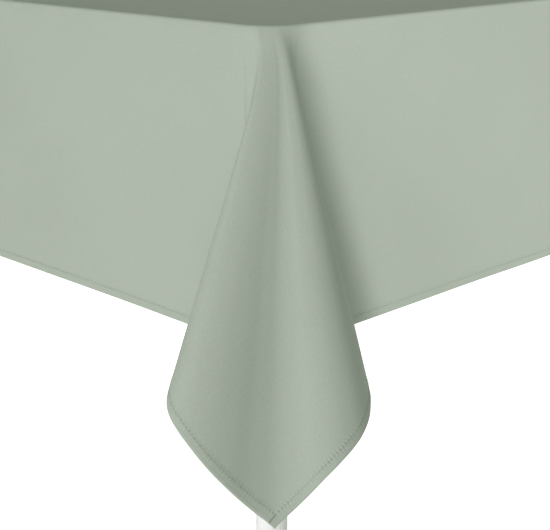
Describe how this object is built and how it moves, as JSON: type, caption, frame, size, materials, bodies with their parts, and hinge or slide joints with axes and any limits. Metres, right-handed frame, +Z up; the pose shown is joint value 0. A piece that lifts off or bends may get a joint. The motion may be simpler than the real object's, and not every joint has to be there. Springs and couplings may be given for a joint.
{
  "type": "tablecloth on a table",
  "caption": "Square table under a plain sage-green woven tablecloth with flat side drops, kite-shaped corner falls and a narrow stitched hem.",
  "frame": {"origin": "on the floor under the middle of the table", "axes": "+Z up; +X right and +Y back, each square to a side of the table"},
  "size_m": [1.0686, 1.0686, 0.7383],
  "materials": {
    "cloth": "matte",
    "hem": "matte",
    "melamine": "satin",
    "edge_plastic": "satin",
    "frame_paint": "satin",
    "insert_plastic": "matte",
    "zinc_steel": "satin",
    "pad_plastic": "matte"
  },
  "bodies": {
    "table": {"tabletop_panel": "melamine", "edge_band": "edge_plastic", "rail_front": "frame_paint", "rail_right": "frame_paint", "rail_back": "frame_paint", "rail_left": "frame_paint", "leg_front_right": "frame_paint", "leg_plate_front_right": "frame_paint", "foot_insert_front_right": "insert_plastic", "plate_screw_front_right_1": "zinc_steel", "plate_screw_front_right_2": "zinc_steel", "plate_screw_front_right_3": "zinc_steel", "leg_back_right": "frame_paint", "leg_plate_back_right": "frame_paint", "foot_insert_back_right": "insert_plastic", "plate_screw_back_right_1": "zinc_steel", "plate_screw_back_right_2": "zinc_steel", "plate_screw_back_right_3": "zinc_steel", "leg_back_left": "frame_paint", "leg_plate_back_left": "frame_paint", "foot_insert_back_left": "insert_plastic", "plate_screw_back_left_1": "zinc_steel", "plate_screw_back_left_2": "zinc_steel", "plate_screw_back_left_3": "zinc_steel", "leg_front_left": "frame_paint", "leg_plate_front_left": "frame_paint", "foot_insert_front_left": "insert_plastic", "plate_screw_front_left_1": "zinc_steel", "plate_screw_front_left_2": "zinc_steel", "plate_screw_front_left_3": "zinc_steel"},
    "cloth": {"cloth_top": "cloth", "drop_front": "cloth", "hem_front": "hem", "drop_right": "cloth", "hem_right": "hem", "drop_back": "cloth", "hem_back": "hem", "drop_left": "cloth", "hem_left": "hem", "fall_front_right": "cloth", "fall_hem_front_right": "hem", "fall_back_right": "cloth", "fall_hem_back_right": "hem", "fall_back_left": "cloth", "fall_hem_back_left": "hem", "fall_front_left": "cloth", "fall_hem_front_left": "hem"},
    "foot_front_right": {"foot_stud_front_right": "zinc_steel", "foot_pad_front_right": "pad_plastic"},
    "foot_back_right": {"foot_stud_back_right": "zinc_steel", "foot_pad_back_right": "pad_plastic"},
    "foot_back_left": {"foot_stud_back_left": "zinc_steel", "foot_pad_back_left": "pad_plastic"},
    "foot_front_left": {"foot_stud_front_left": "zinc_steel", "foot_pad_front_left": "pad_plastic"}
  },
  "joints": [
    {"name": "cloth_lift", "type": "slide", "parent": "table", "child": "cloth", "axis": [0, 0, 1], "range_m": [0, 0.45]},
    {"name": "foot_level_front_right", "type": "slide", "parent": "table", "child": "foot_front_right", "axis": [0, 0, -1], "range_m": [0, 0.01]},
    {"name": "foot_level_back_right", "type": "slide", "parent": "table", "child": "foot_back_right", "axis": [0, 0, -1], "range_m": [0, 0.01]},
    {"name": "foot_level_back_left", "type": "slide", "parent": "table", "child": "foot_back_left", "axis": [0, 0, -1], "range_m": [0, 0.01]},
    {"name": "foot_level_front_left", "type": "slide", "parent": "table", "child": "foot_front_left", "axis": [0, 0, -1], "range_m": [0, 0.01]}
  ]
}
